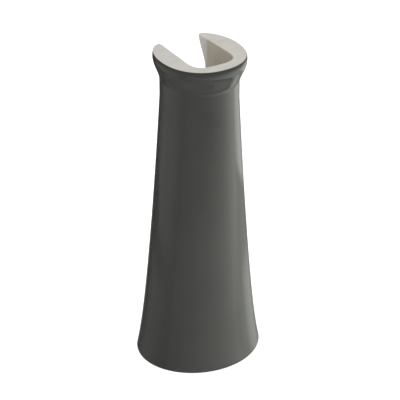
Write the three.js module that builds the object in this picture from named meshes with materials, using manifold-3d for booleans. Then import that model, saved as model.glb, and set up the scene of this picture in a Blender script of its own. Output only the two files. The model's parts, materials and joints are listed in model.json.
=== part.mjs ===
// Pedestal of a pedestal sink: a slip-cast china column with an open back, and its floor fixing.
// Millimetres, +Z up, floor at z = 0. The front faces -Y and the open back faces +Y.
// Every horizontal section of the column is a horseshoe: a rounded outer outline, two full-round
// arm ends at the back, and an open channel between them for the trap and the supply pipes.

import * as THREE from 'three';
import { mergeVertices } from 'three/addons/utils/BufferGeometryUtils.js';
import Module from 'manifold-3d';

// Heights of the column.
const pedestalHeight = 700;
const waistHeight = 605;
const collarHeight = 60;
const armCorbelHeight = 66;

// Outer outline: half-width along X, half-depth along Y and how far its centre lies behind the axis.
const rim = { halfWidth: 91.4, halfDepth: 98.5, centreY: 0, exponent: 2.19 };
const waist = { halfWidth: 79.3, halfDepth: 87.6, centreY: 1.5, exponent: 2 };
const foot = { halfWidth: 132.3, halfDepth: 117.9, centreY: 7.4, exponent: 2 };
const taperLinearShare = 0.69;
const footFlare = 6;
const footFlarePower = 10;
const rimEdgeInset = 1.8;
const rimEdgeHeight = 10;
const footEdgeRadius = 2;

// Arm ends: how far back each horseshoe arm reaches, and the depth of its rounded end.
const rimArmReach = 81;
const waistArmReach = 57;
const footArmReach = 90;
const armEndDepth = 10.5;
const armEndSkew = 0.5; // 0 is an even curve, towards 1 the end is fuller on the channel side

// Open channel: near-parallel sides and a rounded nose near the rim, an even wall near the foot.
const channelFrontHalfWidth = 48.6;
const channelBackHalfWidth = 44.8;
const channelFrontY = -69;
const channelNoseDepth = 43;
const channelNoseExponent = 3.2;
const footWall = 14;
const channelWidenTop = 620;
const channelWidenBottom = 240;

// Foot bridge: the low ledge across the open back that the floor screw goes through.
const bridgeBottom = 3;
const bridgeThickness = 15;
const bridgeDepth = 34;
const bridgeSetback = 12;

// Floor fixing.
const fitGap = 0.3;
const screwDiameter = 9.5;
const screwLength = 76;
const screwPointLength = 12;
const screwTipAboveFloor = 0.5;
const headAcrossFlats = 14.3;
const headHeight = 6.4;
const steelWasherDiameter = 20.6;
const steelWasherThickness = 1.7;
const rubberWasherDiameter = 22;
const rubberWasherThickness = 3;
const sleeveWall = 1.5;
const flangeDiameter = 25;
const flangeThickness = 2.5;

// Fineness of the outline and of the round pieces.
const outerSteps = 18;
const armEndSteps = 6;
const channelSideSteps = 5;
const channelNoseSteps = 9;
const taperSteps = 11;
const collarSteps = 10;
const edgeSteps = 2;
const roundSides = 32;

// Values worked out from the sizes above.
const bridgeTop = bridgeBottom + bridgeThickness;
const bridgeBackY = footArmReach - armEndDepth - bridgeSetback;
const bridgeFrontY = bridgeBackY - bridgeDepth;
const screwY = (bridgeBackY + bridgeFrontY) / 2;
const pieceBoreRadius = screwDiameter / 2 + fitGap;
const sleeveRadius = pieceBoreRadius + sleeveWall;
const bridgeHoleRadius = sleeveRadius + fitGap;
const channelNoseStartY = channelFrontY + channelNoseDepth;

const glazedChina = new THREE.MeshStandardMaterial({ color: 0x4b4b47, roughness: 0.15, metalness: 0 });
const nylon = new THREE.MeshStandardMaterial({ color: 0xe6e3da, roughness: 0.5, metalness: 0 });
const rubber = new THREE.MeshStandardMaterial({ color: 0x1c1c1c, roughness: 0.85, metalness: 0 });
const zincSteel = new THREE.MeshStandardMaterial({ color: 0xb4b6b8, roughness: 0.35, metalness: 1 });

const wasm = await Module();
wasm.setup();

function easeInOut(value) {
  const u = THREE.MathUtils.clamp(value, 0, 1);
  return u * u * (3 - 2 * u);
}

// 0 at the waist and above, 1 at the floor: how far the column has tapered out.
function taperShare(z) {
  const t = Math.max(0, (waistHeight - z) / waistHeight);
  return taperLinearShare * t + (1 - taperLinearShare) * t * t;
}

function mixThree(z, name) {
  const taper = taperShare(z);
  const collar = easeInOut((z - (pedestalHeight - collarHeight)) / (collarHeight - rimEdgeHeight));
  return waist[name] + (foot[name] - waist[name]) * taper + (rim[name] - waist[name]) * collar;
}

function footFlareAt(z) {
  const t = Math.max(0, (waistHeight - z) / waistHeight);
  return footFlare * t ** footFlarePower;
}

// How far the outer outline is drawn in at height z by the rounded rim edge and foot edge.
function edgeInset(z) {
  const nearRim = Math.max(0, z - (pedestalHeight - rimEdgeHeight)) / rimEdgeHeight;
  const nearFoot = Math.max(0, footEdgeRadius - z);
  const rimInset = rimEdgeInset * (1 - Math.sqrt(Math.max(0, 1 - nearRim ** 2)));
  const footInset = footEdgeRadius - Math.sqrt(footEdgeRadius ** 2 - nearFoot ** 2);
  return rimInset + footInset;
}

// Outer outline at height z, drawn in by inset.
function outlineAt(z, inset) {
  const flare = footFlareAt(z);
  return {
    halfWidth: mixThree(z, 'halfWidth') + flare - inset,
    halfDepth: mixThree(z, 'halfDepth') + flare - inset,
    centreY: mixThree(z, 'centreY'),
    exponent: mixThree(z, 'exponent'),
  };
}

function outlinePoint(outline, angle) {
  const power = 2 / outline.exponent;
  const x = outline.halfWidth * Math.abs(Math.cos(angle)) ** power;
  const y = outline.halfDepth * Math.sign(Math.sin(angle)) * Math.abs(Math.sin(angle)) ** power;
  return new THREE.Vector2(x, outline.centreY + y);
}

// Angle at which the outline passes the given y behind its centre.
function angleAtY(outline, y) {
  const share = (y - outline.centreY) / outline.halfDepth;
  return Math.asin(share ** (outline.exponent / 2));
}

function armReachAt(z) {
  const corbel = easeInOut((z - (pedestalHeight - armCorbelHeight)) / armCorbelHeight);
  const taper = taperShare(z);
  return waistArmReach + (footArmReach - waistArmReach) * taper + (rimArmReach - waistArmReach) * corbel;
}

// Right half of an outline, from the front centre back to the given y.
function outlineHalf(outline, endY, steps) {
  const start = -Math.PI / 2;
  const end = angleAtY(outline, endY);
  const points = [];
  for (let i = 0; i <= steps; i += 1) {
    points.push(outlinePoint(outline, start + ((end - start) * i) / steps));
  }
  return points;
}

// Half-width of the straight-sided channel at y: it closes in slightly towards the back.
function channelSideX(y) {
  const share = (y - channelNoseStartY) / (rimArmReach - channelNoseStartY);
  return channelFrontHalfWidth + (channelBackHalfWidth - channelFrontHalfWidth) * share;
}

// Right half of the straight-sided channel, from the arm end to the front centre.
function straightChannelHalf(endY) {
  const noseStartY = channelNoseStartY;
  const points = [];
  for (let i = 0; i < channelSideSteps; i += 1) {
    const y = endY + ((noseStartY - endY) * i) / channelSideSteps;
    points.push(new THREE.Vector2(channelSideX(y), y));
  }
  for (let i = 0; i <= channelNoseSteps; i += 1) {
    const angle = (Math.PI / 2) * (i / channelNoseSteps);
    const power = 2 / channelNoseExponent;
    const x = channelFrontHalfWidth * Math.abs(Math.cos(angle)) ** power;
    points.push(new THREE.Vector2(x, noseStartY - channelNoseDepth * Math.sin(angle) ** power));
  }
  return points;
}

// Right half of the inside of an even wall, from the arm end to the front centre.
function evenWallHalf(z, endY) {
  const steps = channelSideSteps + channelNoseSteps;
  return outlineHalf(outlineAt(z, footWall), endY, steps).reverse();
}

function channelHalf(z, endY) {
  const share = easeInOut((channelWidenTop - z) / (channelWidenTop - channelWidenBottom));
  const straight = straightChannelHalf(endY);
  const even = evenWallHalf(z, endY);
  return straight.map((point, i) => point.clone().lerp(even[i], share));
}

// Control point that carries the line from before to end on past end.
function aimPast(before, end, length) {
  return end.clone().sub(before).setLength(length).add(end);
}

// Points of the rounded arm end: it leaves the outer outline and meets the channel smoothly.
function armEndPoints(outer, channel, depth) {
  const outerEnd = outer[outer.length - 1];
  const aimLength = (depth * 4) / 3;
  const outerAim = aimPast(outer[outer.length - 2], outerEnd, aimLength * (1 - armEndSkew));
  const channelAim = aimPast(channel[1], channel[0], aimLength * (1 + armEndSkew));
  const curve = new THREE.CubicBezierCurve(outerEnd, outerAim, channelAim, channel[0]);
  return curve.getPoints(armEndSteps).slice(1, -1);
}

// The whole horseshoe at height z, anticlockwise seen from above.
function sectionRing(z) {
  const inset = edgeInset(z);
  const endY = armReachAt(z) - armEndDepth;
  const outer = outlineHalf(outlineAt(z, inset), endY, outerSteps);
  const channel = channelHalf(z, endY);
  const armEnd = armEndPoints(outer, channel, armEndDepth - inset);
  const half = [...outer, ...armEnd, ...channel];
  const mirrored = half.slice(1, -1).reverse().map((point) => new THREE.Vector2(-point.x, point.y));
  return [...half, ...mirrored];
}

// Section heights: close together at the two edges, near the floor and through the collar.
function sectionHeights() {
  const collarStart = pedestalHeight - Math.max(collarHeight, armCorbelHeight);
  const rimEdgeStart = pedestalHeight - rimEdgeHeight;
  const heights = [];
  for (let i = 0; i < edgeSteps; i += 1) {
    heights.push(footEdgeRadius * (1 - Math.cos((Math.PI / 2) * (i / edgeSteps))));
  }
  for (let i = 0; i < taperSteps; i += 1) {
    heights.push(footEdgeRadius + (waistHeight - footEdgeRadius) * (i / taperSteps) ** 1.6);
  }
  heights.push(waistHeight);
  for (let i = 0; i < collarSteps; i += 1) {
    heights.push(collarStart + ((rimEdgeStart - collarStart) * i) / collarSteps);
  }
  for (let i = 0; i <= edgeSteps; i += 1) {
    heights.push(rimEdgeStart + rimEdgeHeight * Math.sin((Math.PI / 2) * (i / edgeSteps)));
  }
  return heights;
}

// Solid through a stack of rings that all have the same number of points.
function loftRings(rings, heights) {
  const count = rings[0].length;
  const positions = rings.flatMap((ring, level) => ring.flatMap((point) => [point.x, point.y, heights[level]]));
  const indices = [];
  for (let level = 0; level < rings.length - 1; level += 1) {
    for (let i = 0; i < count; i += 1) {
      const a = level * count + i;
      const b = level * count + ((i + 1) % count);
      indices.push(a, b, b + count, a, b + count, a + count);
    }
  }
  const lastLevel = (rings.length - 1) * count;
  for (const [a, b, c] of THREE.ShapeUtils.triangulateShape(rings[0], [])) {
    indices.push(a, c, b);
  }
  for (const [a, b, c] of THREE.ShapeUtils.triangulateShape(rings[rings.length - 1], [])) {
    indices.push(lastLevel + a, lastLevel + b, lastLevel + c);
  }
  const geometry = new THREE.BufferGeometry();
  geometry.setAttribute('position', new THREE.Float32BufferAttribute(positions, 3));
  geometry.setIndex(indices);
  return geometry;
}

// Foot bridge: its two ends run into the middle of the column's wall.
function bridgeGeometry() {
  const wallMiddle = outlineAt(bridgeTop, footWall / 2);
  const frontAngle = angleAtY(wallMiddle, bridgeFrontY);
  const backAngle = angleAtY(wallMiddle, bridgeBackY);
  const right = [];
  for (let i = 0; i <= armEndSteps; i += 1) {
    right.push(outlinePoint(wallMiddle, frontAngle + ((backAngle - frontAngle) * i) / armEndSteps));
  }
  const left = right.map((point) => new THREE.Vector2(-point.x, point.y)).reverse();
  const shape = new THREE.Shape([...right, ...left]);
  const hole = new THREE.Path();
  hole.absarc(0, screwY, bridgeHoleRadius, 0, Math.PI * 2, true);
  shape.holes.push(hole);
  const geometry = new THREE.ExtrudeGeometry(shape, {
    depth: bridgeThickness,
    bevelEnabled: false,
    curveSegments: roundSides / 2,
  });
  geometry.translate(0, 0, bridgeBottom);
  return geometry;
}

function solidFrom(geometry) {
  const bare = geometry.index ? geometry.clone() : geometry;
  bare.deleteAttribute('normal');
  bare.deleteAttribute('uv');
  const merged = mergeVertices(bare, 1e-4);
  const vertProperties = new Float32Array(merged.attributes.position.array);
  const triVerts = new Uint32Array(merged.index.array);
  return new wasm.Manifold(new wasm.Mesh({ numProp: 3, vertProperties, triVerts }));
}

function geometryFrom(solid) {
  const { vertProperties, triVerts } = solid.getMesh();
  const geometry = new THREE.BufferGeometry();
  geometry.setAttribute('position', new THREE.BufferAttribute(new Float32Array(vertProperties), 3));
  geometry.setIndex(new THREE.BufferAttribute(new Uint32Array(triVerts), 1));
  geometry.computeVertexNormals();
  return geometry;
}

function shellGeometry() {
  const heights = sectionHeights();
  const column = solidFrom(loftRings(heights.map(sectionRing), heights));
  return geometryFrom(column.add(solidFrom(bridgeGeometry())));
}

// Solid of revolution about +Z from [radius, height] pairs.
function turned(profile) {
  const points = profile.map(([radius, height]) => new THREE.Vector2(radius, height));
  return new THREE.LatheGeometry(points, roundSides).rotateX(Math.PI / 2);
}

function washerGeometry(outerRadius, thickness) {
  return turned([
    [pieceBoreRadius, 0],
    [outerRadius, 0],
    [outerRadius, thickness],
    [pieceBoreRadius, thickness],
    [pieceBoreRadius, 0],
  ]);
}

// Flanged sleeve: the flange's underside is at z = 0 and the tube hangs below it.
function sleeveGeometry() {
  const tubeLength = bridgeThickness - fitGap;
  return turned([
    [pieceBoreRadius, -tubeLength],
    [sleeveRadius, -tubeLength],
    [sleeveRadius, 0],
    [flangeDiameter / 2, 0],
    [flangeDiameter / 2, flangeThickness],
    [pieceBoreRadius, flangeThickness],
    [pieceBoreRadius, -tubeLength],
  ]);
}

// Lag screw standing on its point at z = 0, with a hex head.
function screwGeometry() {
  const shankRadius = screwDiameter / 2;
  const shank = turned([
    [0, 0],
    [shankRadius, screwPointLength],
    [shankRadius, screwLength + headHeight / 2],
    [0, screwLength + headHeight / 2],
  ]);
  const cornerRadius = headAcrossFlats / Math.sqrt(3);
  const head = new THREE.CylinderGeometry(cornerRadius, cornerRadius, headHeight, 6).rotateX(Math.PI / 2);
  head.translate(0, 0, screwLength + headHeight / 2);
  return geometryFrom(solidFrom(shank).add(solidFrom(head)));
}

function piece(name, geometry, material, z) {
  const mesh = new THREE.Mesh(geometry, material);
  mesh.name = name;
  mesh.position.z = z;
  return mesh;
}

// The fixing stands ready to drive: the screw's point is just above the floor, and the rubber
// washer's grip on the shank holds the two washers up under the head.
function floorFixing() {
  const headUnderside = screwTipAboveFloor + screwLength;
  const steelWasherZ = headUnderside - fitGap - steelWasherThickness;
  const rubberWasherZ = steelWasherZ - fitGap - rubberWasherThickness;
  const steelWasher = washerGeometry(steelWasherDiameter / 2, steelWasherThickness);
  const rubberWasher = washerGeometry(rubberWasherDiameter / 2, rubberWasherThickness);
  const fixing = new THREE.Group();
  fixing.position.y = screwY;
  fixing.add(piece('screw_sleeve', sleeveGeometry(), nylon, bridgeTop + fitGap));
  fixing.add(piece('rubber_washer', rubberWasher, rubber, rubberWasherZ));
  fixing.add(piece('steel_washer', steelWasher, zincSteel, steelWasherZ));
  fixing.add(piece('floor_screw', screwGeometry(), zincSteel, screwTipAboveFloor));
  return fixing;
}

// Shift that puts the origin under the middle of the foot, which is the widest part of the column.
function columnShiftY() {
  const ys = sectionRing(footEdgeRadius).map((point) => point.y);
  return -(Math.max(...ys) + Math.min(...ys)) / 2;
}

const pedestal = new THREE.Group();
pedestal.position.y = columnShiftY();
pedestal.add(piece('pedestal_shell', shellGeometry(), glazedChina, 0));
pedestal.add(floorFixing());

const part = new THREE.Group();
part.add(pedestal);

export default part;
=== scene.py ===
"""Looks for the pedestal of a pedestal sink: a glazed china column and its floor fixing.

Everything is in metres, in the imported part's own frame: +Z up, the front faces -Y, and the open back
faces +Y.
"""

import json
import math

import bpy
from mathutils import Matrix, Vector

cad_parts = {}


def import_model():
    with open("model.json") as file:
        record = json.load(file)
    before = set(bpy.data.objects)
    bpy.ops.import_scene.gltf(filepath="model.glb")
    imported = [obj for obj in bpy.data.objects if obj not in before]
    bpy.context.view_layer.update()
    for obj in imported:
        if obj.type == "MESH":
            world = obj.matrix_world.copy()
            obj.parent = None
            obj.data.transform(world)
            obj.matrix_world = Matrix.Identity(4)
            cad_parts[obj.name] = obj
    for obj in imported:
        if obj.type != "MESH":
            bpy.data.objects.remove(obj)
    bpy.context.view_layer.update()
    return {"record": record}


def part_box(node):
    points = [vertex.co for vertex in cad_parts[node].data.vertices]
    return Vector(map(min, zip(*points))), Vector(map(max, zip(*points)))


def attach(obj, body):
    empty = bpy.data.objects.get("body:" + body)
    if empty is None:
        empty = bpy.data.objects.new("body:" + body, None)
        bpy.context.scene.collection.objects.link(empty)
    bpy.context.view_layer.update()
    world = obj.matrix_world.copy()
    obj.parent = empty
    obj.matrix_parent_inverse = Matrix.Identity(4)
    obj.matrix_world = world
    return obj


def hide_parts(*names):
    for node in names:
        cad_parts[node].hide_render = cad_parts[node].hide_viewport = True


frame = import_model()

MM = 0.001

# ------------------------------------------------------------------ sizes of the column
# y is measured from the column's own axis, which stands at AXIS_Y.
SHELL_LOW, SHELL_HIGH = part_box("pedestal_shell")
HEIGHT = SHELL_HIGH.z - SHELL_LOW.z
AXIS_Y = frame["record"]["mounts"][0]["pos_m"][1]
WAIST_Z = 605 * MM
COLLAR_HEIGHT = 60 * MM
CORBEL_HEIGHT = 66 * MM

RIM = {"half_width": 91.4 * MM, "half_depth": 98.5 * MM, "centre_y": 0.0, "exponent": 2.19}
WAIST = {"half_width": 79.3 * MM, "half_depth": 87.6 * MM, "centre_y": 1.5 * MM, "exponent": 2.0}
FOOT = {"half_width": 132.3 * MM, "half_depth": 117.9 * MM, "centre_y": 7.4 * MM, "exponent": 2.0}
TAPER_LINEAR_SHARE = 0.69
FOOT_FLARE = 6 * MM
FOOT_FLARE_POWER = 10

RIM_ARM_REACH = 81 * MM
WAIST_ARM_REACH = 57 * MM
FOOT_ARM_REACH = 90 * MM
ARM_END_DEPTH = 10.5 * MM
ARM_END_SKEW = 0.5

CHANNEL_FRONT_HALF = 48.6 * MM
CHANNEL_BACK_HALF = 44.8 * MM
CHANNEL_FRONT_Y = -69 * MM
CHANNEL_NOSE_DEPTH = 43 * MM
CHANNEL_NOSE_EXPONENT = 3.2
CHANNEL_NOSE_START = CHANNEL_FRONT_Y + CHANNEL_NOSE_DEPTH
FOOT_WALL = 14 * MM
CHANNEL_WIDEN_TOP = 620 * MM
CHANNEL_WIDEN_BOTTOM = 240 * MM

RIM_EDGE_INSET = 1.8 * MM
RIM_EDGE_HEIGHT = 10 * MM
FOOT_EDGE_RADIUS = 2 * MM
INNER_EDGE_RADIUS = 1.2 * MM
FLAT_BORDER = 1.0 * MM

# Fineness of the column's mesh. TAPER_LEVEL_POWER crowds the rings towards the floor.
OUTER_STEPS = 60
ARM_END_STEPS = 14
ARM_STRIP_STEPS = 6
CHANNEL_SIDE_STEPS = 12
CHANNEL_NOSE_STEPS = 18
TAPER_LEVELS = 56
TAPER_LEVEL_POWER = 1.3
COLLAR_LEVELS = 30
EDGE_LEVELS = 5
RIM_EDGE_LEVELS = 12


def clamp(value, low=0.0, high=1.0):
    return max(low, min(high, value))


def mix(a, b, share):
    return a + (b - a) * share


def ease(value):
    u = clamp(value)
    return u * u * (3 - 2 * u)


# ------------------------------------------------------------------ outline of the column at any height
def taper_share(z):
    """How far the column has widened at height z, from 0 at the waist to 1 at the floor."""
    t = max(0.0, (WAIST_Z - z) / WAIST_Z)
    return TAPER_LINEAR_SHARE * t + (1 - TAPER_LINEAR_SHARE) * t * t


def outline_at(z, inset):
    """Superellipse of the outside at height z, drawn in by inset."""
    taper = taper_share(z)
    collar = ease((z - (HEIGHT - COLLAR_HEIGHT)) / (COLLAR_HEIGHT - RIM_EDGE_HEIGHT))
    flare = FOOT_FLARE * max(0.0, (WAIST_Z - z) / WAIST_Z) ** FOOT_FLARE_POWER
    outline = {}
    for name, waist in WAIST.items():
        outline[name] = waist + (FOOT[name] - waist) * taper + (RIM[name] - waist) * collar
    outline["half_width"] += flare - inset
    outline["half_depth"] += flare - inset
    return outline


def outline_point(outline, angle):
    """Point of the right half of an outline: angle is -pi / 2 at the front and pi / 2 at the back."""
    power = 2 / outline["exponent"]
    c = math.cos(angle)
    s = math.sin(angle)
    x = outline["half_width"] * abs(c) ** power
    y = outline["half_depth"] * math.copysign(abs(s) ** power, s)
    return Vector((x, outline["centre_y"] + y))


def angle_at_y(outline, y):
    """Angle of the outline's point at y, which is behind the outline's centre."""
    share = (y - outline["centre_y"]) / outline["half_depth"]
    return math.asin(share ** (outline["exponent"] / 2))


def arm_end_y(z):
    """How far back an arm reaches before its rounded end, with what the collar adds."""
    corbel = ease((z - (HEIGHT - CORBEL_HEIGHT)) / CORBEL_HEIGHT)
    return strip_front_y(z) + (RIM_ARM_REACH - WAIST_ARM_REACH) * corbel


def strip_front_y(z):
    """How far back an arm would reach without the collar: the bare strip inside it starts here."""
    taper = (FOOT_ARM_REACH - WAIST_ARM_REACH) * taper_share(z)
    return WAIST_ARM_REACH - ARM_END_DEPTH + taper


def outline_half(outline, end_y, steps):
    """Right half of an outline, from the front centre back to end_y."""
    start = -math.pi / 2
    end = angle_at_y(outline, end_y)
    return [outline_point(outline, mix(start, end, i / steps)) for i in range(steps + 1)]


def straight_side_x(y):
    """Half-width of the channel at y near the rim: it closes in slightly towards the back."""
    share = (y - CHANNEL_NOSE_START) / (RIM_ARM_REACH - CHANNEL_NOSE_START)
    return mix(CHANNEL_FRONT_HALF, CHANNEL_BACK_HALF, share)


def straight_channel_half(end_y, strip_y):
    """Channel near the rim: the bare strip, the near-parallel side and the rounded nose."""
    power = 2 / CHANNEL_NOSE_EXPONENT
    points = []
    for i in range(ARM_STRIP_STEPS):
        y = mix(end_y, strip_y, i / ARM_STRIP_STEPS)
        points.append(Vector((straight_side_x(y), y)))
    for i in range(CHANNEL_SIDE_STEPS):
        y = mix(strip_y, CHANNEL_NOSE_START, i / CHANNEL_SIDE_STEPS)
        points.append(Vector((straight_side_x(y), y)))
    for i in range(CHANNEL_NOSE_STEPS + 1):
        angle = math.pi / 2 * i / CHANNEL_NOSE_STEPS
        x = CHANNEL_FRONT_HALF * abs(math.cos(angle)) ** power
        y = CHANNEL_NOSE_START - CHANNEL_NOSE_DEPTH * math.sin(angle) ** power
        points.append(Vector((x, y)))
    return points


def even_wall_half(z, end_y):
    """Channel near the floor: the outside drawn in by the wall's thickness."""
    steps = ARM_STRIP_STEPS + CHANNEL_SIDE_STEPS + CHANNEL_NOSE_STEPS
    return outline_half(outline_at(z, FOOT_WALL), end_y, steps)[::-1]


def pushed_out(points, distance):
    """The channel's points moved into the wall by distance, square to the line."""
    moved = []
    for i, point in enumerate(points):
        before = points[max(0, i - 1)]
        after = points[min(len(points) - 1, i + 1)]
        along = (after - before).normalized()
        moved.append(point + Vector((-along.y, along.x)) * distance)
    moved[-1].x = 0.0
    return moved


def even_share(z):
    """0 where the channel has straight sides, near the rim, and 1 where the wall is even."""
    return ease((CHANNEL_WIDEN_TOP - z) / (CHANNEL_WIDEN_TOP - CHANNEL_WIDEN_BOTTOM))


def channel_end_direction(z, end_y):
    """Direction in which the channel's side runs out at the arm's end."""
    nose_corner = Vector((straight_side_x(CHANNEL_NOSE_START), CHANNEL_NOSE_START))
    side = (Vector((straight_side_x(end_y), end_y)) - nose_corner).normalized()
    even = even_wall_half(z, end_y)
    return side.lerp((even[0] - even[1]).normalized(), even_share(z)).normalized()


def channel_half(z, end_y, grow):
    """Right half of the channel, from the arm's end to the front centre, widened by grow."""
    share = even_share(z)
    straight = straight_channel_half(end_y, strip_front_y(z))
    even = even_wall_half(z, end_y)
    points = [a.lerp(b, share) for a, b in zip(straight, even)]
    return pushed_out(points, grow) if grow else points


def arm_end_half(outer, channel, channel_direction, depth):
    """Rounded arm end: a Bezier curve from the outer outline to the channel, smooth at both."""
    handle = depth * 4 / 3
    a = outer[-1]
    d = channel[0]
    b = a + (a - outer[-2]).normalized() * handle * (1 - ARM_END_SKEW)
    c = d + channel_direction * handle * (1 + ARM_END_SKEW)
    points = []
    for i in range(1, ARM_END_STEPS):
        t = i / ARM_END_STEPS
        u = 1 - t
        points.append(a * u ** 3 + b * 3 * u * u * t + c * 3 * u * t * t + d * t ** 3)
    return points


def section_ring(z, inset, grow):
    """The whole horseshoe at height z, anticlockwise seen from above."""
    end_y = arm_end_y(z)
    outer = outline_half(outline_at(z, inset), end_y, OUTER_STEPS)
    channel = channel_half(z, end_y, grow)
    direction = channel_end_direction(z, end_y)
    arm_end = arm_end_half(outer, channel, direction, ARM_END_DEPTH - inset)
    half = outer + arm_end + channel
    mirrored = [Vector((-p.x, p.y)) for p in half[-2:0:-1]]
    return half + mirrored


def section_levels():
    """(height, outer inset, channel growth) of every ring, from the floor up."""
    levels = [(0.0, FOOT_EDGE_RADIUS + FLAT_BORDER, INNER_EDGE_RADIUS + FLAT_BORDER)]
    for i in range(EDGE_LEVELS):
        turn = math.pi / 2 * i / EDGE_LEVELS
        z = FOOT_EDGE_RADIUS * (1 - math.cos(turn))
        left = 1 - math.sin(turn)
        levels.append((z, FOOT_EDGE_RADIUS * left, INNER_EDGE_RADIUS * left))
    for i in range(TAPER_LEVELS):
        z = FOOT_EDGE_RADIUS + (WAIST_Z - FOOT_EDGE_RADIUS) * (i / TAPER_LEVELS) ** TAPER_LEVEL_POWER
        levels.append((z, 0.0, 0.0))
    rim_start = HEIGHT - RIM_EDGE_HEIGHT
    for i in range(COLLAR_LEVELS):
        levels.append((mix(WAIST_Z, rim_start, i / COLLAR_LEVELS), 0.0, 0.0))
    for i in range(RIM_EDGE_LEVELS + 1):
        turn = math.pi / 2 * i / RIM_EDGE_LEVELS
        z = rim_start + RIM_EDGE_HEIGHT * math.sin(turn)
        inner = max(0.0, z - (HEIGHT - INNER_EDGE_RADIUS))
        grow = INNER_EDGE_RADIUS - math.sqrt(max(0.0, INNER_EDGE_RADIUS ** 2 - inner ** 2))
        levels.append((z, RIM_EDGE_INSET * (1 - math.cos(turn)), grow))
    levels.append((HEIGHT, RIM_EDGE_INSET + FLAT_BORDER, INNER_EDGE_RADIUS + FLAT_BORDER))
    return levels


# ------------------------------------------------------------------ mesh helpers
FILLET_STEPS = 4


def new_object(name, verts, faces, slots=None, materials=()):
    """Smooth-shaded mesh object; slots gives each face's material."""
    mesh = bpy.data.meshes.new(name)
    mesh.from_pydata([tuple(v) for v in verts], [], faces)
    for material in materials:
        mesh.materials.append(material)
    if slots:
        mesh.polygons.foreach_set("material_index", slots)
    mesh.polygons.foreach_set("use_smooth", [True] * len(mesh.polygons))
    mesh.validate()
    mesh.update()
    obj = bpy.data.objects.new(name, mesh)
    bpy.context.scene.collection.objects.link(obj)
    return obj


def sharpen(obj, degrees):
    """Keeps edges that turn by more than degrees crisp."""
    obj.data.set_sharp_from_angle(angle=math.radians(degrees))


def revolved(name, radius_at, heights, sides, material, centre):
    """Closed surface about the upright line through centre: radius_at(angle, z) at each height."""
    verts = []
    faces = []
    for z in heights:
        for i in range(sides):
            angle = 2 * math.pi * i / sides
            r = radius_at(angle, z)
            offset = Vector((r * math.cos(angle), r * math.sin(angle), z))
            verts.append(centre + offset)
    for level in range(len(heights) - 1):
        for i in range(sides):
            a = level * sides + i
            b = level * sides + (i + 1) % sides
            faces.append((a, b, b + sides, a + sides))
    low = len(verts)
    verts.append((centre.x, centre.y, centre.z + heights[0]))
    verts.append((centre.x, centre.y, centre.z + heights[-1]))
    top = (len(heights) - 1) * sides
    for i in range(sides):
        j = (i + 1) % sides
        faces.append((low, j, i))
        faces.append((low + 1, top + i, top + j))
    return new_object(name, verts, faces, materials=[material])


def turned_ring(name, profile, sides, material, centre):
    """Closed ring about the upright line through centre, from a closed (radius, height) list."""
    count = len(profile)
    verts = []
    faces = []
    for i in range(sides):
        angle = 2 * math.pi * i / sides
        for r, z in profile:
            offset = Vector((r * math.cos(angle), r * math.sin(angle), z))
            verts.append(centre + offset)
    for i in range(sides):
        j = (i + 1) % sides
        for k in range(count):
            m = (k + 1) % count
            faces.append((i * count + k, j * count + k, j * count + m, i * count + m))
    return new_object(name, verts, faces, materials=[material])


def rounded_profile(corners, steps=FILLET_STEPS):
    """Closed (radius, height) list with each corner (radius, height, fillet) rounded."""
    profile = []
    count = len(corners)
    for i, (r, z, fillet) in enumerate(corners):
        here = Vector((r, z))
        before = Vector(corners[i - 1][:2])
        after = Vector(corners[(i + 1) % count][:2])
        start = here + (before - here).normalized() * fillet
        end = here + (after - here).normalized() * fillet
        for k in range(steps + 1):
            t = k / steps
            point = start * (1 - t) ** 2 + here * 2 * t * (1 - t) + end * t * t
            profile.append((point.x, point.y))
    return profile


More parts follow.
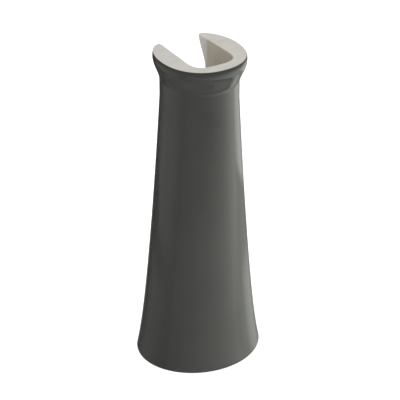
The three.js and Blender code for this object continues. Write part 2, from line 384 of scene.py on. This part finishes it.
# ------------------------------------------------------------------ materials
class Nodes:
    """Short way to build one material's node tree. Scales are in cycles for each metre."""

    def __init__(self, name):
        self.material = bpy.data.materials.new(name)
        self.material.use_nodes = True
        self.tree = self.material.node_tree
        self.shader = self.tree.nodes["Principled BSDF"]
        coords = self.tree.nodes.new("ShaderNodeTexCoord")
        self.position = coords.outputs["Object"]

    def add(self, kind, values=(), links=()):
        """New node of a kind, with sockets set from values and joined from links."""
        node = self.tree.nodes.new(kind)
        for name, value in dict(values).items():
            node.inputs[name].default_value = value
        for name, source in dict(links).items():
            self.tree.links.new(source, node.inputs[name])
        return node

    def stretched(self, scale):
        """Place on the object, scaled by a different amount along each axis."""
        node = self.add("ShaderNodeMapping", {"Scale": scale}, {"Vector": self.position})
        return node.outputs["Vector"]

    def noise(self, scale, detail=4.0, roughness=0.5, vector=None):
        values = {"Scale": scale, "Detail": detail, "Roughness": roughness}
        node = self.add("ShaderNodeTexNoise", values, {"Vector": vector or self.position})
        return node.outputs["Fac"]

    def cells(self, scale):
        """Distance to the nearest of many scattered points."""
        node = self.add("ShaderNodeTexVoronoi", {"Scale": scale}, {"Vector": self.position})
        return node.outputs["Distance"]

    def ramp(self, source, stops):
        """Grey levels or colours at the given places of the source's range."""
        node = self.add("ShaderNodeValToRGB", {}, {"Fac": source})
        elements = node.color_ramp.elements
        while len(elements) < len(stops):
            elements.new(0.5)
        for element, (place, value) in zip(elements, stops):
            element.position = place
            colour = value if isinstance(value, tuple) else (value, value, value)
            element.color = (*colour, 1)
        return node.outputs["Color"]

    def mixed(self, factor, a, b, blend="MIX"):
        """Mix of two colours; each argument is a value or the socket that gives it."""
        node = self.tree.nodes.new("ShaderNodeMix")
        node.data_type = "RGBA"
        node.blend_type = blend
        for name, value in (("Factor", factor), ("A", a), ("B", b)):
            socket = [s for s in node.inputs if s.name == name and s.enabled][0]
            if isinstance(value, tuple):
                socket.default_value = (*value, 1)
            elif isinstance(value, float):
                socket.default_value = value
            else:
                self.tree.links.new(value, socket)
        return [s for s in node.outputs if s.enabled][0]

    def bump(self, height, distance, strength, normal=None):
        values = {"Strength": strength, "Distance": distance}
        links = {"Height": height}
        if normal:
            links["Normal"] = normal
        return self.add("ShaderNodeBump", values, links).outputs["Normal"]

    def finish(self, colour, roughness=None, normal=None, **fixed):
        """Joins the sources to the shader and sets its other sockets to fixed values."""
        sockets = self.shader.inputs
        sources = {"Base Color": colour, "Roughness": roughness, "Normal": normal}
        for name, source in sources.items():
            if source is not None:
                self.tree.links.new(source, sockets[name])
        for name, value in fixed.items():
            sockets[name.replace("_", " ")].default_value = value
        return self.material


def glaze_material():
    """Glossy dark warm-grey glaze: slow colour drift, fine mottle, pin marks, soft orange peel."""
    n = Nodes("dark_grey_glaze")
    dark, light = (0.0348, 0.0344, 0.0328), (0.04, 0.0396, 0.0376)
    drift = n.ramp(n.noise(7.0, 2.0), [(0.3, dark), (0.7, light)])
    mottle = n.ramp(n.noise(900.0, 3.0, 0.6), [(0.35, 0.9), (0.65, 1.08)])
    colour = n.mixed(1.0, drift, mottle, "MULTIPLY")
    speck_mask = n.ramp(n.cells(260.0), [(0.035, 1.0), (0.06, 0.0)])
    rare = n.ramp(n.noise(55.0, 1.0), [(0.6, 0.0), (0.68, 1.0)])
    mask = n.mixed(1.0, speck_mask, rare, "MULTIPLY")
    colour = n.mixed(mask, colour, (0.02, 0.019, 0.017))
    peel = n.bump(n.noise(85.0, 2.0, 0.45), 0.00012, 0.35)
    normal = n.bump(mask, 0.00008, 0.5, peel)
    roughness = n.ramp(n.noise(30.0, 5.0, 0.6), [(0.3, 0.06), (0.75, 0.11)])
    return n.finish(colour, roughness, normal, IOR=1.52)


def bisque_material():
    """Unglazed off-white clay, wiped with a sponge: chalky and fine, with iron specks and streaks."""
    n = Nodes("bare_clay")
    dark, light = (0.424, 0.409, 0.378), (0.473, 0.46, 0.429)
    base = n.ramp(n.noise(22.0, 5.0, 0.6), [(0.3, dark), (0.7, light)])
    wipes = n.noise(60.0, 3.0, 0.55, n.stretched((0.25, 1.6, 1.0)))
    streaks = n.ramp(wipes, [(0.3, 0.95), (0.7, 1.03)])
    colour = n.mixed(1.0, base, streaks, "MULTIPLY")
    iron_mask = n.ramp(n.cells(420.0), [(0.05, 1.0), (0.09, 0.0)])
    rare = n.ramp(n.noise(90.0, 1.0), [(0.6, 0.0), (0.66, 0.6)])
    mask = n.mixed(1.0, iron_mask, rare, "MULTIPLY")
    colour = n.mixed(mask, colour, (0.2, 0.15, 0.11))
    grain = n.bump(n.noise(2600.0, 4.0, 0.7), 0.00008, 0.5)
    sponge = n.bump(n.noise(140.0, 3.0, 0.6), 0.00025, 0.3, grain)
    return n.finish(colour, None, sponge, Roughness=0.86, Specular_IOR_Level=0.25)


def wash_and_shade_material():
    """Taupe wash inside the channel, darker and warmer than the bare clay partly as painted shade of
    the hollow: satin, with long runs down the wall and thin spots.
    """
    n = Nodes("taupe_wash_and_painted_shade")
    runs = n.noise(26.0, 4.0, 0.55, n.stretched((1.0, 1.0, 0.12)))
    # Both tones are partly the wash's own colour and partly painted shade: the hollow's darkness is put
    # into the colour.
    dark, light = (0.355, 0.319, 0.266), (0.42, 0.382, 0.322)
    base = n.ramp(runs, [(0.3, dark), (0.7, light)])
    clouds = n.ramp(n.noise(12.0, 5.0, 0.6), [(0.3, 0.93), (0.72, 1.05)])
    colour = n.mixed(1.0, base, clouds, "MULTIPLY")
    thin = n.ramp(n.noise(160.0, 4.0, 0.65), [(0.62, 0.0), (0.75, 0.35)])
    colour = n.mixed(thin, colour, (0.46, 0.435, 0.385))
    relief = n.bump(runs, 0.0006, 0.35)
    normal = n.bump(n.noise(900.0, 3.0, 0.6), 0.00008, 0.4, relief)
    roughness = n.ramp(n.noise(40.0, 4.0), [(0.3, 0.5), (0.7, 0.68)])
    return n.finish(colour, roughness, normal, Specular_IOR_Level=0.35)


def zinc_material():
    """Bright zinc plate: fine crystalline mottle, drawing marks and a slight yellow-blue drift."""
    n = Nodes("zinc_plated_steel")
    blue, yellow = (0.56, 0.565, 0.57), (0.7, 0.69, 0.66)
    tone = n.ramp(n.noise(240.0, 4.0, 0.6), [(0.3, blue), (0.7, yellow)])
    marks = n.noise(1200.0, 2.0, 0.5, n.stretched((0.2, 0.2, 3.0)))
    roughness = n.ramp(marks, [(0.3, 0.24), (0.7, 0.42)])
    normal = n.bump(marks, 0.00004, 0.4)
    return n.finish(tone, roughness, normal, Metallic=1.0)


def rubber_material():
    """Moulded black rubber with a powdery bloom."""
    n = Nodes("black_rubber")
    black, bloom = (0.017, 0.017, 0.018), (0.042, 0.041, 0.04)
    tone = n.ramp(n.noise(300.0, 5.0, 0.65), [(0.35, black), (0.75, bloom)])
    roughness = n.ramp(n.noise(120.0, 3.0), [(0.3, 0.7), (0.7, 0.9)])
    normal = n.bump(n.noise(1800.0, 3.0, 0.6), 0.00005, 0.5)
    return n.finish(tone, roughness, normal, Specular_IOR_Level=0.35)


def nylon_material():
    """Off-white moulded nylon: satin skin with faint flow marks."""
    n = Nodes("natural_nylon")
    dark, light = (0.72, 0.7, 0.63), (0.79, 0.775, 0.71)
    tone = n.ramp(n.noise(110.0, 3.0, 0.5), [(0.3, dark), (0.7, light)])
    roughness = n.ramp(n.noise(260.0, 3.0), [(0.3, 0.36), (0.7, 0.5)])
    normal = n.bump(n.noise(420.0, 2.0), 0.00004, 0.4)
    return n.finish(tone, roughness, normal, Subsurface_Weight=0.08, Subsurface_Scale=0.002)


GLAZE = glaze_material()
BISQUE = bisque_material()
# The channel wash's darker, warmer tone is partly painted shade of the hollow.
WASH_AND_SHADE = wash_and_shade_material()
ZINC = zinc_material()
RUBBER = rubber_material()
NYLON = nylon_material()

# ------------------------------------------------------------------ the column
# Order of its material slots.
GLAZE_SLOT, BISQUE_SLOT, WASH_AND_SHADE_SLOT = range(3)
GLAZED_SHARE_OF_ARM_END = 0.45
COLUMN_CREASE = 50


def side_slots(half_count):
    """Slot of each upright strip of faces in the right half, from the front centre round."""
    glazed_arm = round(ARM_END_STEPS * GLAZED_SHARE_OF_ARM_END)
    slots = [GLAZE_SLOT] * (OUTER_STEPS + glazed_arm)
    slots += [BISQUE_SLOT] * (ARM_END_STEPS - glazed_arm + ARM_STRIP_STEPS)
    # Faces behind the bare strip take the channel wash, whose darker tone is partly painted shade, so
    # the sharp line at the strip's front edge is partly painted shade too.
    slots += [WASH_AND_SHADE_SLOT] * (half_count - 1 - len(slots))
    return slots


def column():
    """The whole casting but its foot bridge: rings of the horseshoe from the floor to the rim."""
    levels = section_levels()
    rings = [section_ring(*level) for level in levels]
    count = len(rings[0])
    half_count = count // 2 + 1
    half_slots = side_slots(half_count)
    strip_slots = half_slots + half_slots[::-1]
    verts = []
    for (z, _, _), ring in zip(levels, rings):
        verts += [(p.x, p.y + AXIS_Y, z) for p in ring]
    faces = []
    slots = []
    for level in range(len(levels) - 1):
        flat = level == 0 or level == len(levels) - 2
        for i in range(count):
            a = level * count + i
            b = level * count + (i + 1) % count
            faces.append((a, b, b + count, a + count))
            slots.append(BISQUE_SLOT if flat else strip_slots[i])
    faces.append(tuple(range(count))[::-1])
    faces.append(tuple(range((len(levels) - 1) * count, len(levels) * count)))
    slots += [BISQUE_SLOT, BISQUE_SLOT]
    return new_object("china_column", verts, faces, slots, [GLAZE, BISQUE, WASH_AND_SHADE])


shell = column()
sharpen(shell, COLUMN_CREASE)
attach(shell, "pedestal")
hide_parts("pedestal_shell")

# ------------------------------------------------------------------ the foot bridge
SLEEVE_LOW, SLEEVE_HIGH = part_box("screw_sleeve")
FIXING_X = (SLEEVE_LOW.x + SLEEVE_HIGH.x) / 2
FIXING_Y = (SLEEVE_LOW.y + SLEEVE_HIGH.y) / 2
FIT_GAP = 0.3 * MM
FLANGE_THICKNESS = 2.5 * MM
SLEEVE_RADIUS = 6.55 * MM
BRIDGE_BOTTOM = 3 * MM
BRIDGE_TOP = SLEEVE_HIGH.z - FLANGE_THICKNESS - FIT_GAP
BRIDGE_HALF_DEPTH = 17 * MM
BRIDGE_FILLET = 9 * MM
BRIDGE_EDGE = 2.5 * MM
BRIDGE_FILLET_SPREAD = 0.7
BRIDGE_STEPS = 72
BRIDGE_CREASE = 40
HOLE_RADIUS = SLEEVE_RADIUS + FIT_GAP
HOLE_SIDES = 48
CUT_BELOW = 5 * MM
CUT_ABOVE = 20 * MM


def rounded_rectangle(half_width, low, high, radius, steps=5):
    """Anticlockwise outline with rounded corners, in y about 0 and in z from low to high."""
    corners = [
        (half_width - radius, low + radius, -math.pi / 2),
        (half_width - radius, high - radius, 0.0),
        (-half_width + radius, high - radius, math.pi / 2),
        (-half_width + radius, low + radius, math.pi),
    ]
    points = []
    for y, z, start in corners:
        for k in range(steps + 1):
            angle = start + math.pi / 2 * k / steps
            points.append((y + radius * math.cos(angle), z + radius * math.sin(angle)))
    return points


def wall_x(y, z, depth):
    """Half-width at y of the column's outside, drawn in by depth."""
    outline = outline_at(z, depth)
    return outline_point(outline, angle_at_y(outline, y)).x


def foot_bridge():
    """Bar from the middle of one wall to the middle of the other, spreading where it meets them."""
    mid_z = (BRIDGE_BOTTOM + BRIDGE_TOP) / 2
    column_y = FIXING_Y - AXIS_Y
    inner_x = wall_x(column_y, mid_z, FOOT_WALL)
    end_x = wall_x(column_y, mid_z, FOOT_WALL / 2)
    most_reach = BRIDGE_FILLET * 0.999
    verts = []
    faces = []
    for i in range(BRIDGE_STEPS + 1):
        share = math.sin(math.pi * (i / BRIDGE_STEPS - 0.5))
        to_wall = max(0.0, inner_x - abs(share) * end_x)
        reach = clamp(BRIDGE_FILLET - to_wall, 0.0, most_reach)
        spread = BRIDGE_FILLET - math.sqrt(BRIDGE_FILLET ** 2 - reach ** 2)
        half_depth = BRIDGE_HALF_DEPTH + spread * BRIDGE_FILLET_SPREAD
        top = BRIDGE_TOP + spread
        for y, z in rounded_rectangle(half_depth, BRIDGE_BOTTOM, top, BRIDGE_EDGE):
            wall_y = column_y + clamp(y, -BRIDGE_HALF_DEPTH, BRIDGE_HALF_DEPTH)
            x = share * wall_x(wall_y, mid_z, FOOT_WALL / 2)
            verts.append((x, FIXING_Y + y, z))
    count = len(verts) // (BRIDGE_STEPS + 1)
    for i in range(BRIDGE_STEPS):
        for k in range(count):
            m = (k + 1) % count
            a = i * count
            b = a + count
            faces.append((a + k, a + m, b + m, b + k))
    faces.append(tuple(range(count))[::-1])
    faces.append(tuple(range(BRIDGE_STEPS * count, (BRIDGE_STEPS + 1) * count)))
    # The bridge takes the channel wash, whose darker tone is partly painted shade.
    return new_object("foot_bridge", verts, faces, materials=[WASH_AND_SHADE])


def drill(obj, centre, radius, low, high):
    """Cuts a round upright hole through obj and leaves the result in its mesh."""
    cutter = revolved("cutter", lambda angle, z: radius, [low, high], HOLE_SIDES, WASH_AND_SHADE, centre)
    cut = obj.modifiers.new("hole", "BOOLEAN")
    cut.operation = "DIFFERENCE"
    cut.solver = "EXACT"
    cut.object = cutter
    bpy.context.view_layer.update()
    evaluated = obj.evaluated_get(bpy.context.evaluated_depsgraph_get())
    mesh = bpy.data.meshes.new_from_object(evaluated)
    obj.modifiers.clear()
    obj.data = mesh
    bpy.data.objects.remove(cutter)


bridge = foot_bridge()
hole_axis = Vector((FIXING_X, FIXING_Y, 0))
drill(bridge, hole_axis, HOLE_RADIUS, BRIDGE_BOTTOM - CUT_BELOW, BRIDGE_TOP + CUT_ABOVE)
sharpen(bridge, BRIDGE_CREASE)
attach(bridge, "pedestal")
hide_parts("pedestal_shell")

# ------------------------------------------------------------------ the floor fixing
SCREW_LOW, SCREW_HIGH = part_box("floor_screw")
HEAD_HEIGHT = 6.4 * MM
SCREW_LENGTH = SCREW_HIGH.z - SCREW_LOW.z - HEAD_HEIGHT
ACROSS_FLATS = SCREW_HIGH.x - SCREW_LOW.x
THREAD_RADIUS = 4.75 * MM
ROOT_RADIUS = 3.45 * MM
THREAD_PITCH = 3.629 * MM
THREAD_TOP = 51 * MM
RIDGE_HALF_SHARE = 0.2
RIDGE_FADE = 1.5 * THREAD_PITCH
POINT_LENGTH = 12 * MM
POINT_POWER = 0.8
NECK_LENGTH = 2 * MM
NECK_STEPS = 4
SHANK_RADIUS = THREAD_RADIUS - 0.15 * MM
SCREW_SIDES = 72
SCREW_STEP = 0.28 * MM
SCREW_CREASE = 35
HEAD_CHAMFER = 1.5 * MM
CHAMFER_SLOPE = 1.1
CHAMFER_STEPS = 5
WASHER_FACE = 0.5 * MM
WASHER_FACE_SHARE = 0.97
SHARP_STEP = 0.01 * MM


def thread_radius(angle, z):
    """Radius of the thread: a sharp ridge on a helix, small at the point and faded out on top."""
    turn = (z / THREAD_PITCH - angle / (2 * math.pi)) % 1.0
    ridge = max(0.0, 1 - abs(turn - 0.5) / RIDGE_HALF_SHARE)
    envelope = clamp(z / POINT_LENGTH) ** POINT_POWER
    fade = clamp((THREAD_TOP - z) / RIDGE_FADE)
    return envelope * (ROOT_RADIUS + (THREAD_RADIUS - ROOT_RADIUS) * ridge * fade)


def hex_radius(angle):
    """Radius of the head's hexagon, which has a corner towards +Y."""
    sector = (angle + math.pi / 6) % (math.pi / 3) - math.pi / 6
    return ACROSS_FLATS / 2 / math.cos(sector)


def screw_radius(angle, z):
    """Radius of the screw at height z above its point: thread, neck, shank, washer face, hex head."""
    if z <= THREAD_TOP:
        return thread_radius(angle, z)
    head_z = z - SCREW_LENGTH
    if head_z < 0:
        return mix(ROOT_RADIUS, SHANK_RADIUS, ease((z - THREAD_TOP) / NECK_LENGTH))
    if head_z < WASHER_FACE:
        return ACROSS_FLATS / 2 * WASHER_FACE_SHARE
    corner = ACROSS_FLATS / math.sqrt(3)
    cone = corner - max(0.0, head_z - (HEAD_HEIGHT - HEAD_CHAMFER)) * CHAMFER_SLOPE
    return min(hex_radius(angle), cone)


def screw_heights():
    """Heights of the screw's rings, with two close together at each step in its radius."""
    steps = round(THREAD_TOP / SCREW_STEP)
    heights = [THREAD_TOP * i / steps for i in range(steps + 1)]
    heights += [THREAD_TOP + NECK_LENGTH * i / NECK_STEPS for i in range(1, NECK_STEPS + 1)]
    for step_z in (SCREW_LENGTH, SCREW_LENGTH + WASHER_FACE):
        heights += [step_z - SHARP_STEP, step_z]
    chamfer_z = SCREW_LENGTH + HEAD_HEIGHT - HEAD_CHAMFER
    heights += [chamfer_z + HEAD_CHAMFER * i / CHAMFER_STEPS for i in range(CHAMFER_STEPS + 1)]
    return heights


screw_place = Vector((FIXING_X, FIXING_Y, SCREW_LOW.z))
screw = revolved("lag_screw", screw_radius, screw_heights(), SCREW_SIDES, ZINC, screw_place)
sharpen(screw, SCREW_CREASE)
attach(screw, "screw")
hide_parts("floor_screw")


BORE_RADIUS = THREAD_RADIUS + FIT_GAP
RING_SIDES = 72
RING_CREASE = 50


def washer_like(node, name, fillet, material, body):
    """Finer version of a plain washer, the size of its CAD solid."""
    low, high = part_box(node)
    outer = (high.x - low.x) / 2
    thickness = high.z - low.z
    corners = [
        (BORE_RADIUS, 0.0, fillet),
        (outer, 0.0, fillet),
        (outer, thickness, fillet),
        (BORE_RADIUS, thickness, fillet),
    ]
    place = Vector((FIXING_X, FIXING_Y, low.z))
    ring = turned_ring(name, rounded_profile(corners), RING_SIDES, material, place)
    sharpen(ring, RING_CREASE)
    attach(ring, body)
    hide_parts(node)


washer_like("steel_washer", "plain_washer", 0.35 * MM, ZINC, "washers")
washer_like("rubber_washer", "soft_washer", 0.7 * MM, RUBBER, "washers")


def sleeve():
    """Flanged nylon bushing, with the third number of each corner its fillet."""
    low, high = SLEEVE_LOW.z, SLEEVE_HIGH.z
    flange = (SLEEVE_HIGH.x - SLEEVE_LOW.x) / 2
    under = high - low - FLANGE_THICKNESS
    corners = [
        (BORE_RADIUS, 0.0, 0.3 * MM),
        (SLEEVE_RADIUS, 0.0, 0.6 * MM),
        (SLEEVE_RADIUS, under, 0.25 * MM),
        (flange, under, 0.4 * MM),
        (flange, high - low, 0.8 * MM),
        (BORE_RADIUS, high - low, 0.5 * MM),
    ]
    place = Vector((FIXING_X, FIXING_Y, low))
    return turned_ring("nylon_sleeve", rounded_profile(corners), RING_SIDES, NYLON, place)


nylon_sleeve = sleeve()
sharpen(nylon_sleeve, RING_CREASE)
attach(nylon_sleeve, "pedestal")
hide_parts("screw_sleeve")


# ------------------------------------------------------------------ floor, light and camera
FLOOR_HALF = 9.0


def floor_material():
    """Plain white studio floor with a trace of unevenness."""
    n = Nodes("pale_floor")
    tone = n.ramp(n.noise(1.5, 3.0), [(0.3, 0.86), (0.7, 0.88)])
    own_glow = {"Emission_Color": (1, 1, 1, 1), "Emission_Strength": 0.4}
    return n.finish(tone, Roughness=0.9, Specular_IOR_Level=0.0, **own_glow)


def studio_floor():
    """Wide white floor, which the glaze doesn't reflect."""
    h = FLOOR_HALF
    corners = [(-h, -h, 0), (h, -h, 0), (h, h, 0), (-h, h, 0)]
    floor = new_object("floor", corners, [(0, 1, 2, 3)], materials=[floor_material()])
    floor.visible_glossy = False


def area_light(name, place, target, size, power):
    """Round soft light at place, aimed at target."""
    data = bpy.data.lights.new(name, "AREA")
    data.shape = "DISK"
    data.size = size
    data.energy = power
    light = bpy.data.objects.new(name, data)
    light.location = place
    light.rotation_euler = (Vector(target) - Vector(place)).to_track_quat("-Z", "Y").to_euler()
    bpy.context.scene.collection.objects.link(light)


# The glaze mirrors a tent of white cloth round the object, lit in soft panels. Only reflections
# show it.
CAMERA_TURN = math.radians(32.163)
TENT_RADIUS = 1.4
TENT_LOW = -2.2
TENT_HIGH = 1.6
TENT_SIDES = 240
TENT_LEVELS = 190
TENT_TINT = (0.97, 1.0, 0.91, 1)


def edge(value, place, width):
    """Soft step from 0 to 1 about place."""
    return ease((value - place) / width + 0.5)


def between(value, start, end):
    """Share of a span with soft ends: start and end are each (place, width)."""
    return edge(value, *start) * (1 - edge(value, *end))


# Panels of the tent. A turn is in degrees to the right of the camera's side, and a height is in metres
# above the floor.
FAINT_GLOW = 0.03
FILL_GLOW = 0.09
FILL_TURNS = ((-100, 60), (150, 30))

KEY_START = (-47, 10)
KEY_RAMP_START = -50
KEY_RAMP_TURNS = 135
KEY_RAMP_POWER = 1.65
KEY_FAINTEST = 0.12
KEY_RISE = 1.66
KEY_DIP = 0.42
KEY_DIP_TURNS = ((-5, 70), (80, 80))
KEY_DIP_HEIGHT = (-0.1, 0.5)
KEY_SHOULDER_TURN = 97
KEY_SHOULDER_TURNS = 53
KEY_SHOULDER_GLOWS = (1.4, 0.3)
KEY_SHOULDER_SOFTNESS = 18
KEY_BOTTOM = -0.65
KEY_BOTTOM_DROP = 0.13
KEY_BOTTOM_SOFTNESS = 0.24
FLOOR_SHARES = (0.3, 0.2)
FLOOR_SHARE_HEIGHT = (-1.0, 0.4)

LEFT_GLOW = 0.27
LEFT_TURNS = ((-126, 45), (-62, 45))
LEFT_BOTTOM = -0.29
LEFT_BOTTOM_RISE = 0.16
LEFT_BEND_TURN = -105
LEFT_BEND_TURNS = 30
LEFT_BEND_POWER = 1.2
LEFT_LOW_GLOW = 0.16
LEFT_LOW_TURNS = ((-122, 40), (-72, 40))
LEFT_LOW_HEIGHTS = ((-0.7, 0.3), (-0.4, 0.1))

RIGHT_GLOW = 0.95
RIGHT_TURNS = ((112, 14), (148, 40))
RIGHT_MIDDLE_TURN = 115
RIGHT_BOTTOM = -0.195
RIGHT_BOTTOM_SLOPE = -0.003
RIGHT_LOW_GLOW = 0.45
RIGHT_LOW_HEIGHTS = ((-1.2, 0.7), (-0.5, 0.1))

BACK_EDGE = (-150, 16)
BACK_GLOWS = (0.13, 0.04)
BACK_HEIGHT = (-0.36, 0.1)
FLOOR_GLOW = 0.1
FLOOR_HEIGHT = (-0.9, 0.9)
ROOF_SHARE = 0.25
ROOF_HEIGHT = (0.2, 0.25)


def key_light(turn, height):
    """Wide soft light on the right: brightest near its right edge, dimmer above on its left."""
    glow = KEY_FAINTEST + KEY_RISE * clamp((turn - KEY_RAMP_START) / KEY_RAMP_TURNS) ** KEY_RAMP_POWER
    glow -= KEY_DIP * edge(height, *KEY_DIP_HEIGHT) * between(turn, *KEY_DIP_TURNS)
    shoulder = mix(*KEY_SHOULDER_GLOWS, clamp((turn - KEY_SHOULDER_TURN) / KEY_SHOULDER_TURNS))
    shoulder_start = clamp(122 + 60 * height, 88, 108)
    glow = mix(glow, shoulder, edge(turn, shoulder_start, KEY_SHOULDER_SOFTNESS))
    bottom = KEY_BOTTOM - KEY_BOTTOM_DROP * edge(turn, 100, 20)
    floor_share = mix(*FLOOR_SHARES, edge(height, *FLOOR_SHARE_HEIGHT))
    glow *= mix(floor_share, 1.0, edge(height, bottom, KEY_BOTTOM_SOFTNESS))
    return glow * edge(turn, *KEY_START)


def left_light(turn, height):
    """Strip on the left, whose bottom rises towards the back, and a dim panel under it."""
    bend = clamp((LEFT_BEND_TURN - turn) / LEFT_BEND_TURNS) ** LEFT_BEND_POWER
    bottom = LEFT_BOTTOM + LEFT_BOTTOM_RISE * bend
    strip = LEFT_GLOW * between(turn, *LEFT_TURNS) * edge(height, bottom, 0.1)
    low = LEFT_LOW_GLOW * between(turn, *LEFT_LOW_TURNS) * between(height, *LEFT_LOW_HEIGHTS)
    return strip + low


def right_light(turn, height):
    """Bright strip on the right, whose bottom falls towards the back, and a panel under it."""
    bottom = RIGHT_BOTTOM + RIGHT_BOTTOM_SLOPE * (turn - RIGHT_MIDDLE_TURN)
    strip = RIGHT_GLOW * edge(height, bottom, 0.06)
    low = RIGHT_LOW_GLOW * between(height, *RIGHT_LOW_HEIGHTS)
    return between(turn, *RIGHT_TURNS) * (strip + low)


def tent_glow(turn, height):
    """Brightness of the tent's wall."""
    glow = FAINT_GLOW + FILL_GLOW * between(turn, *FILL_TURNS)
    glow += key_light(turn, height) + left_light(turn, height) + right_light(turn, height)
    glow += (1 - edge(turn, *BACK_EDGE)) * mix(*BACK_GLOWS, edge(height, *BACK_HEIGHT))
    glow += FLOOR_GLOW * (1 - edge(height, *FLOOR_HEIGHT))
    return glow * mix(1.0, ROOF_SHARE, edge(height, *ROOF_HEIGHT))


def light_tent():
    """Upright cylinder whose cloth glows by tent_glow, kept as a value on each corner of its mesh."""
    verts = []
    glows = []
    for level in range(TENT_LEVELS + 1):
        z = mix(TENT_LOW, TENT_HIGH, level / TENT_LEVELS)
        for i in range(TENT_SIDES):
            turn = 360 * i / TENT_SIDES - 180
            angle = math.radians(turn) - math.pi / 2 - CAMERA_TURN
            x = TENT_RADIUS * math.cos(angle)
            verts.append((x, TENT_RADIUS * math.sin(angle) + AXIS_Y, z))
            glows.append(tent_glow(turn, z))
    faces = []
    for level in range(TENT_LEVELS):
        for i in range(TENT_SIDES):
            a = level * TENT_SIDES + i
            b = level * TENT_SIDES + (i + 1) % TENT_SIDES
            faces.append((b, a, a + TENT_SIDES, b + TENT_SIDES))
    cloth = bpy.data.materials.new("tent_cloth")
    cloth.use_nodes = True
    nodes = cloth.node_tree.nodes
    links = cloth.node_tree.links
    nodes.clear()
    glow = nodes.new("ShaderNodeAttribute")
    glow.attribute_name = "glow"
    emission = nodes.new("ShaderNodeEmission")
    emission.inputs["Color"].default_value = TENT_TINT
    output = nodes.new("ShaderNodeOutputMaterial")
    links.new(glow.outputs["Fac"], emission.inputs["Strength"])
    links.new(emission.outputs["Emission"], output.inputs["Surface"])
    cloth.cycles.emission_sampling = "NONE"
    tent = new_object("light_tent", verts, faces, materials=[cloth])
    tent.data.attributes.new("glow", "FLOAT", "POINT").data.foreach_set("value", glows)
    tent.visible_camera = False
    tent.visible_diffuse = False
    tent.visible_transmission = False
    tent.visible_volume_scatter = False
    tent.visible_shadow = False


ROOM_STRENGTH = 0.28
SKY_STRENGTH = 1.0
HORIZON_LOW = -0.2
HORIZON_HIGH = -0.08


def world():
    """Even pale light from the horizon up, and a dim room below it."""
    scene_world = bpy.data.worlds.new("studio")
    bpy.context.scene.world = scene_world
    scene_world.use_nodes = True
    nodes = scene_world.node_tree.nodes
    links = scene_world.node_tree.links
    direction = nodes.new("ShaderNodeTexCoord").outputs["Generated"]
    split = nodes.new("ShaderNodeSeparateXYZ")
    links.new(direction, split.inputs[0])
    sky = nodes.new("ShaderNodeMapRange")
    sky.interpolation_type = "SMOOTHSTEP"
    sky.inputs["From Min"].default_value = HORIZON_LOW
    sky.inputs["From Max"].default_value = HORIZON_HIGH
    sky.inputs["To Min"].default_value = ROOM_STRENGTH
    sky.inputs["To Max"].default_value = SKY_STRENGTH
    links.new(split.outputs["Z"], sky.inputs["Value"])
    links.new(sky.outputs["Result"], nodes["Background"].inputs["Strength"])
    nodes["Background"].inputs["Color"].default_value = (1, 1, 1, 1)


# The camera stands in front on the left, level with a tall person's eyes.
CAMERA_PITCH = math.radians(29.504)
CAMERA_PLACE = (-1.7273, -2.7477 + AXIS_Y, 2.1951)
LENS_PER_SENSOR = 4.42725
SENSOR_WIDTH = 36.0
CLIP_END = 60.0


def studio_camera():
    data = bpy.data.cameras.new("camera")
    data.sensor_width = SENSOR_WIDTH
    data.lens = LENS_PER_SENSOR * SENSOR_WIDTH
    data.clip_end = CLIP_END
    camera = bpy.data.objects.new("camera", data)
    camera.location = CAMERA_PLACE
    camera.rotation_euler = (math.pi / 2 - CAMERA_PITCH, 0.0, -CAMERA_TURN)
    bpy.context.scene.collection.objects.link(camera)
    bpy.context.scene.camera = camera


studio_floor()
area_light("overhead", place=(-0.3, -0.2, 5.0), target=(0, 0, 0.3), size=4.0, power=60)
world()
light_tent()
studio_camera()
bpy.context.scene.view_settings.view_transform = "Standard"
